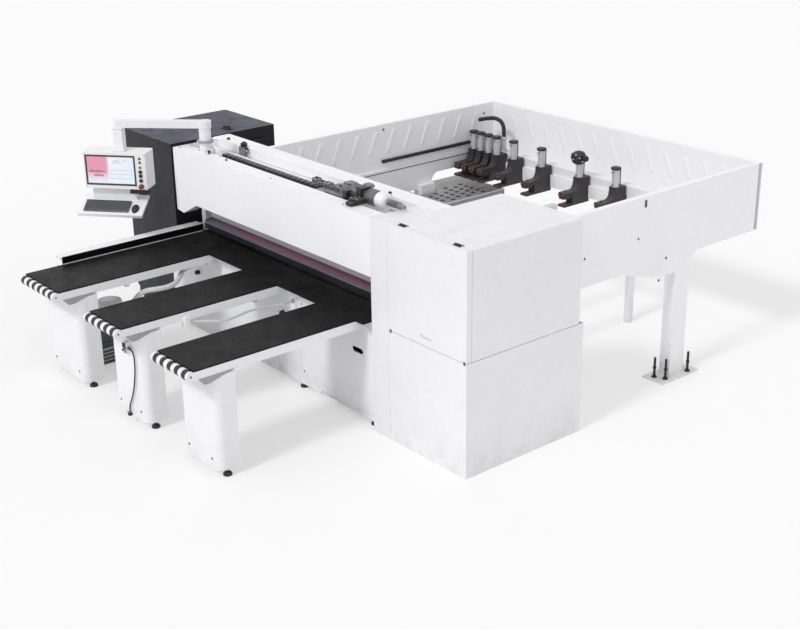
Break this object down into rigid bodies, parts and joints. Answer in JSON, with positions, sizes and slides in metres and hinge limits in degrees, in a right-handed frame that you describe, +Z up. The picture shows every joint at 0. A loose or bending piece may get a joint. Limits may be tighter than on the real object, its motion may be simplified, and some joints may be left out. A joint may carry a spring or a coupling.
{
  "type": "beam saw",
  "caption": "Panel sizing saw with a pressure beam over the saw line, front tables, rear pusher with grippers, safety walls, console and electric cabinet.",
  "frame": {"origin": "centre of the machine's footprint on the floor", "axes": "+Z up, +X to the right of the operator who stands in front of the tables, +Y from the operator to the rear wall"},
  "size_m": [5.1982, 5.288, 2.079],
  "materials": {
    "white_paint": "satin powder coat",
    "dark_paint": "satin powder coat",
    "case_aluminium": "white coated",
    "beam_aluminium": "anodised",
    "machined_aluminium": "machined",
    "machined_steel": "ground",
    "blade_steel": "ground",
    "cast_grey": "painted casting",
    "black_table": "matt",
    "black_laminate": "fine grain",
    "black_plastic": "moulded",
    "grey_deck": "perforated sheet",
    "jaw_red": "satin",
    "key_plastic": "moulded",
    "red_plastic": "moulded",
    "hose_rubber": "smooth",
    "cable_rubber": "smooth"
  },
  "bodies": {
    "machine": {"lower_casing": "white_paint", "upper_casing": "white_paint", "right_column": "white_paint", "girder": "white_paint", "front_cover": "white_paint", "rear_cover": "white_paint", "base_frame": "white_paint", "base_panel": "white_paint", "saw_table_front": "black_table", "saw_table_rear": "black_table", "table_top_right": "black_laminate", "table_top_middle": "black_laminate", "table_top_left": "black_laminate", "table_support_right": "white_paint", "table_support_middle": "white_paint", "table_support_left": "white_paint", "fence_rail": "white_paint", "fence_face": "black_plastic", "aligner_chain": "black_plastic", "rear_wall_left": "white_paint", "rear_wall_right": "white_paint", "rear_wall_back": "white_paint", "wall_chain": "black_plastic", "float_table": "grey_deck", "support_rails": "white_paint", "console_post": "white_paint", "electric_cabinet": "dark_paint", "blower": "dark_paint", "blower_hose": "hose_rubber", "table_hose": "hose_rubber", "leg_cable": "cable_rubber"},
    "door": {"cabinet_door": "white_paint"},
    "rollers_right": {"nose_rollers_right": "black_plastic"},
    "rollers_middle": {"nose_rollers_middle": "black_plastic"},
    "rollers_left": {"nose_rollers_left": "black_plastic"},
    "press": {"pressure_beam": "beam_aluminium"},
    "saw": {"saw_carriage": "machined_steel"},
    "lift": {"saw_lift": "cast_grey"},
    "blade": {"main_blade": "blade_steel"},
    "scorer": {"score_blade": "blade_steel"},
    "aligner": {"aligner_carriage": "machined_aluminium"},
    "aligner_reach": {"aligner_arm": "machined_aluminium"},
    "pusher": {"pusher_beam": "white_paint", "gripper_bank": "cast_grey"},
    "jaw_1": {"gripper_jaw_1": "jaw_red"},
    "jaw_2": {"gripper_jaw_2": "jaw_red"},
    "jaw_3": {"gripper_jaw_3": "jaw_red"},
    "jaw_4": {"gripper_jaw_4": "jaw_red"},
    "jaw_5": {"gripper_jaw_5": "jaw_red"},
    "jaw_6": {"gripper_jaw_6": "jaw_red"},
    "jaw_7": {"gripper_jaw_7": "jaw_red"},
    "jaw_8": {"gripper_jaw_8": "jaw_red"},
    "swivel_arm": {"console_arm": "white_paint"},
    "console": {"console_case": "case_aluminium", "keyboard": "key_plastic"},
    "button_1": {"push_button_1": "black_plastic"},
    "button_2": {"push_button_2": "black_plastic"},
    "button_3": {"push_button_3": "black_plastic"},
    "stop": {"emergency_stop": "red_plastic"},
    "electric_lid": {"electric_door": "dark_paint"}
  },
  "joints": [
    {"name": "door_hinge", "type": "hinge", "parent": "machine", "child": "door", "pos_m": [2.15715, -0.966, 1.803], "axis": [-1, 0, 0], "range_deg": [0, 80]},
    {"name": "right_nose_spin", "type": "hinge", "parent": "machine", "child": "rollers_right", "pos_m": [1.13915, -2.606, 0.905], "axis": [1, 0, 0], "continuous": true},
    {"name": "middle_nose_spin", "type": "hinge", "parent": "machine", "child": "rollers_middle", "pos_m": [0.06715, -2.606, 0.905], "axis": [1, 0, 0], "continuous": true},
    {"name": "left_nose_spin", "type": "hinge", "parent": "machine", "child": "rollers_left", "pos_m": [-1.05985, -2.606, 0.905], "axis": [1, 0, 0], "continuous": true},
    {"name": "press_stroke", "type": "slide", "parent": "machine", "child": "press", "axis": [0, 0, 1], "range_m": [-0.105, 0]},
    {"name": "saw_travel", "type": "slide", "parent": "machine", "child": "saw", "axis": [1, 0, 0], "range_m": [-3.34, 0]},
    {"name": "saw_raise", "type": "slide", "parent": "saw", "child": "lift", "axis": [0, 0, 1], "range_m": [0, 0.095]},
    {"name": "blade_spin", "type": "hinge", "parent": "lift", "child": "blade", "pos_m": [2.14415, -0.756, 0.712], "axis": [0, 1, 0], "continuous": true},
    {"name": "scorer_spin", "type": "hinge", "parent": "lift", "child": "scorer", "pos_m": [1.84415, -0.756, 0.774], "axis": [0, 1, 0], "continuous": true},
    {"name": "aligner_travel", "type": "slide", "parent": "machine", "child": "aligner", "axis": [1, 0, 0], "range_m": [-1.55, 0]},
    {"name": "aligner_stroke", "type": "slide", "parent": "aligner", "child": "aligner_reach", "axis": [0, 0, 1], "range_m": [-0.374, 0]},
    {"name": "pusher_travel", "type": "slide", "parent": "machine", "child": "pusher", "axis": [0, 1, 0], "range_m": [-2.18, 0]},
    {"name": "jaw_1_stroke", "type": "slide", "parent": "pusher", "child": "jaw_1", "axis": [0, 0, 1], "range_m": [-0.05, 0]},
    {"name": "jaw_2_stroke", "type": "slide", "parent": "pusher", "child": "jaw_2", "axis": [0, 0, 1], "range_m": [-0.05, 0]},
    {"name": "jaw_3_stroke", "type": "slide", "parent": "pusher", "child": "jaw_3", "axis": [0, 0, 1], "range_m": [-0.05, 0]},
    {"name": "jaw_4_stroke", "type": "slide", "parent": "pusher", "child": "jaw_4", "axis": [0, 0, 1], "range_m": [-0.05, 0]},
    {"name": "jaw_5_stroke", "type": "slide", "parent": "pusher", "child": "jaw_5", "axis": [0, 0, 1], "range_m": [-0.05, 0]},
    {"name": "jaw_6_stroke", "type": "slide", "parent": "pusher", "child": "jaw_6", "axis": [0, 0, 1], "range_m": [-0.05, 0]},
    {"name": "jaw_7_stroke", "type": "slide", "parent": "pusher", "child": "jaw_7", "axis": [0, 0, 1], "range_m": [-0.05, 0]},
    {"name": "jaw_8_stroke", "type": "slide", "parent": "pusher", "child": "jaw_8", "axis": [0, 0, 1], "range_m": [-0.05, 0]},
    {"name": "arm_swing", "type": "hinge", "parent": "machine", "child": "swivel_arm", "pos_m": [-1.05685, -0.876, 2.048], "axis": [0, 0, 1], "range_deg": [-10, 50]},
    {"name": "console_swing", "type": "hinge", "parent": "swivel_arm", "child": "console", "pos_m": [-1.61688, -1.43603, 2.017], "axis": [0, 0, 1], "range_deg": [-30, 30]},
    {"name": "button_1_press", "type": "slide", "parent": "console", "child": "button_1", "axis": [-0.6428, 0.766, 0], "range_m": [0, 0.004], "stiffness_N_per_m": 800},
    {"name": "button_2_press", "type": "slide", "parent": "console", "child": "button_2", "axis": [-0.6428, 0.766, 0], "range_m": [0, 0.004], "stiffness_N_per_m": 800},
    {"name": "button_3_press", "type": "slide", "parent": "console", "child": "button_3", "axis": [-0.6428, 0.766, 0], "range_m": [0, 0.004], "stiffness_N_per_m": 800},
    {"name": "stop_press", "type": "slide", "parent": "console", "child": "stop", "axis": [-0.6428, 0.766, 0], "range_m": [0, 0.006], "stiffness_N_per_m": 1500},
    {"name": "electric_hinge", "type": "hinge", "parent": "machine", "child": "electric_lid", "pos_m": [-2.56515, 0.285, 0.925], "axis": [0, 0, -1], "range_deg": [0, 100]}
  ]
}
